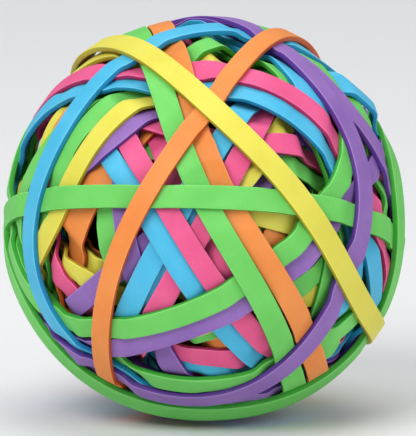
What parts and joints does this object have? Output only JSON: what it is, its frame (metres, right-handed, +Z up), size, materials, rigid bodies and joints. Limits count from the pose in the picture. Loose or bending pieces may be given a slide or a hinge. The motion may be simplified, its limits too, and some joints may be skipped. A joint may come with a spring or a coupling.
{
  "type": "rubber band ball",
  "caption": "Round ball wound from flat coloured rubber bands, which are kept stretched over each other until one is needed.",
  "frame": {"origin": "the point of the bench straight under the middle of the ball, where it is held", "axes": "+Z up, -Y towards the side of the ball that looks at the user, +X to that user's right"},
  "size_m": [0.0555, 0.0554, 0.0554],
  "materials": {
    "green": "matte, smooth, lightly dusted rubber",
    "blue": "matte, smooth, lightly dusted rubber",
    "orange": "matte, smooth, lightly dusted rubber",
    "yellow": "matte, smooth, lightly dusted rubber",
    "pink": "matte, smooth, lightly dusted rubber",
    "purple": "matte, smooth, lightly dusted rubber",
    "heart": "matte rubber of many colours, in deep shade"
  },
  "bodies": {
    "root": {"wound_heart": "heart", "band_01_blue": "blue", "band_02_green": "green", "band_03_green": "green", "band_04_green": "green", "band_05_green": "green", "band_06_pink": "pink", "band_07_blue": "blue", "band_08_green": "green", "band_09_orange": "orange", "band_10_yellow": "yellow", "band_11_pink": "pink", "band_12_purple": "purple", "band_13_blue": "blue", "band_14_pink": "pink", "band_15_purple": "purple", "band_16_yellow": "yellow", "band_17_pink": "pink", "band_18_blue": "blue", "band_19_pink": "pink", "band_20_blue": "blue", "band_21_blue": "blue", "band_22_pink": "pink", "band_23_purple": "purple", "band_24_yellow": "yellow", "band_25_orange": "orange", "band_26_green": "green", "band_27_pink": "pink", "band_28_green": "green", "band_29_yellow": "yellow", "band_30_yellow": "yellow", "band_31_green": "green", "band_32_green": "green", "band_33_green": "green", "band_34_blue": "blue", "band_35_blue": "blue", "band_36_purple": "purple", "band_37_green": "green", "band_38_blue": "blue", "band_39_pink": "pink", "band_40_purple": "purple", "band_41_blue": "blue", "band_42_green": "green", "band_43_purple": "purple", "band_44_orange": "orange", "band_45_green": "green", "band_46_green": "green", "band_47_blue": "blue", "band_48_purple": "purple", "band_49_orange": "orange", "band_50_green": "green", "band_51_yellow": "yellow"}
  },
  "joints": []
}
